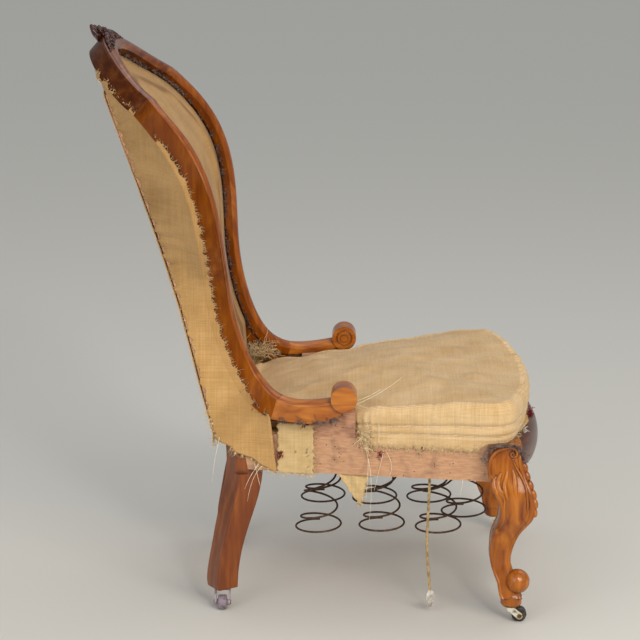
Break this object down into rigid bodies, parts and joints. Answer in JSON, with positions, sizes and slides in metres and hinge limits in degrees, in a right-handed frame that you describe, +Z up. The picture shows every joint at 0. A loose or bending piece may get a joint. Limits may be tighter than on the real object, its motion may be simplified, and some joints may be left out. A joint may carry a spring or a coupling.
{
  "type": "medallion back chair",
  "caption": "Low spoon-backed chair with a moulded show-wood frame, scrolled arm stubs and cabriole front legs, stripped to hessian over open seat springs, on swivelling casters.",
  "frame": {"origin": "on the floor below the middle of the chair", "axes": "+Z up, -Y towards the front of the seat, +X towards the sitter's left"},
  "size_m": [0.5576, 0.8042, 1.0105],
  "materials": {
    "polished_mahogany": "french-polished show wood, worn to amber on the raised edges",
    "bare_beech": "bare pinkish beech with tack holes",
    "hessian": "loose plain-weave jute",
    "cotton_cord": "twisted off-white cotton",
    "blued_steel": "dull blued steel",
    "rusted_spring_steel": "rust-browned spring wire",
    "caster_brass": "tarnished brass",
    "white_caster_metal": "chipped off-white coating",
    "dark_caster_wheel": "dark worn wheel",
    "lilac_caster_metal": "greyed pinkish coating",
    "lilac_caster_wheel": "worn pinkish wheel, standing in for glazed china"
  },
  "bodies": {
    "frame": {"arm_block_left": "bare_beech", "arm_block_right": "bare_beech", "arm_left": "polished_mahogany", "arm_right": "polished_mahogany", "back_post_left": "bare_beech", "back_post_right": "bare_beech", "back_rail": "bare_beech", "block_screws": "blued_steel", "canvas_flap": "hessian", "caster_plates": "caster_brass", "caster_screws": "blued_steel", "cord_tuft": "cotton_cord", "crest_rail": "polished_mahogany", "cresting": "polished_mahogany", "frame_dowels": "bare_beech", "front_corner_block_left": "bare_beech", "front_corner_block_right": "bare_beech", "front_leg_left": "polished_mahogany", "front_leg_right": "polished_mahogany", "front_rail": "polished_mahogany", "hanging_cord": "cotton_cord", "inside_back_hessian": "hessian", "outside_back_hessian": "hessian", "rail_patch": "hessian", "rear_corner_block_left": "bare_beech", "rear_corner_block_right": "bare_beech", "rear_leg_left": "polished_mahogany", "rear_leg_right": "polished_mahogany", "seat_pad": "hessian", "seat_spring_1": "rusted_spring_steel", "seat_spring_2": "rusted_spring_steel", "seat_spring_3": "rusted_spring_steel", "seat_spring_4": "rusted_spring_steel", "seat_spring_5": "rusted_spring_steel", "seat_spring_6": "rusted_spring_steel", "seat_spring_7": "rusted_spring_steel", "side_hessian_left": "hessian", "side_hessian_right": "hessian", "side_rail_left": "bare_beech", "side_rail_right": "bare_beech", "spring_canvas": "hessian", "stay_rail": "bare_beech", "stile_left": "polished_mahogany", "stile_right": "polished_mahogany", "tacks": "blued_steel", "waist_brace_left": "bare_beech", "waist_brace_right": "bare_beech"},
    "front_caster_left": {"front_caster_fork_left": "white_caster_metal", "front_caster_axle_left": "blued_steel"},
    "front_wheel_left": {"front_caster_wheel_left": "dark_caster_wheel"},
    "front_caster_right": {"front_caster_fork_right": "white_caster_metal", "front_caster_axle_right": "blued_steel"},
    "front_wheel_right": {"front_caster_wheel_right": "dark_caster_wheel"},
    "rear_caster_left": {"rear_caster_fork_left": "lilac_caster_metal", "rear_caster_axle_left": "blued_steel"},
    "rear_wheel_left": {"rear_caster_wheel_left": "lilac_caster_wheel"},
    "rear_caster_right": {"rear_caster_fork_right": "lilac_caster_metal", "rear_caster_axle_right": "blued_steel"},
    "rear_wheel_right": {"rear_caster_wheel_right": "lilac_caster_wheel"}
  },
  "joints": [
    {"name": "front_swivel_left", "type": "hinge", "parent": "frame", "child": "front_caster_left", "pos_m": [0.244, -0.34, 0.03], "axis": [0, 0, 1], "continuous": true},
    {"name": "front_roll_left", "type": "hinge", "parent": "front_caster_left", "child": "front_wheel_left", "pos_m": [0.244, -0.354, 0.013], "axis": [1, 0, 0], "continuous": true},
    {"name": "front_swivel_right", "type": "hinge", "parent": "frame", "child": "front_caster_right", "pos_m": [-0.244, -0.34, 0.03], "axis": [0, 0, 1], "continuous": true},
    {"name": "front_roll_right", "type": "hinge", "parent": "front_caster_right", "child": "front_wheel_right", "pos_m": [-0.244, -0.354, 0.013], "axis": [1, 0, 0], "continuous": true},
    {"name": "rear_swivel_left", "type": "hinge", "parent": "frame", "child": "rear_caster_left", "pos_m": [0.18, 0.164, 0.037], "axis": [0, 0, 1], "continuous": true},
    {"name": "rear_roll_left", "type": "hinge", "parent": "rear_caster_left", "child": "rear_wheel_left", "pos_m": [0.194, 0.164, 0.013], "axis": [0, 1, 0], "continuous": true},
    {"name": "rear_swivel_right", "type": "hinge", "parent": "frame", "child": "rear_caster_right", "pos_m": [-0.18, 0.164, 0.037], "axis": [0, 0, 1], "continuous": true},
    {"name": "rear_roll_right", "type": "hinge", "parent": "rear_caster_right", "child": "rear_wheel_right", "pos_m": [-0.194, 0.164, 0.013], "axis": [0, 1, 0], "continuous": true}
  ]
}
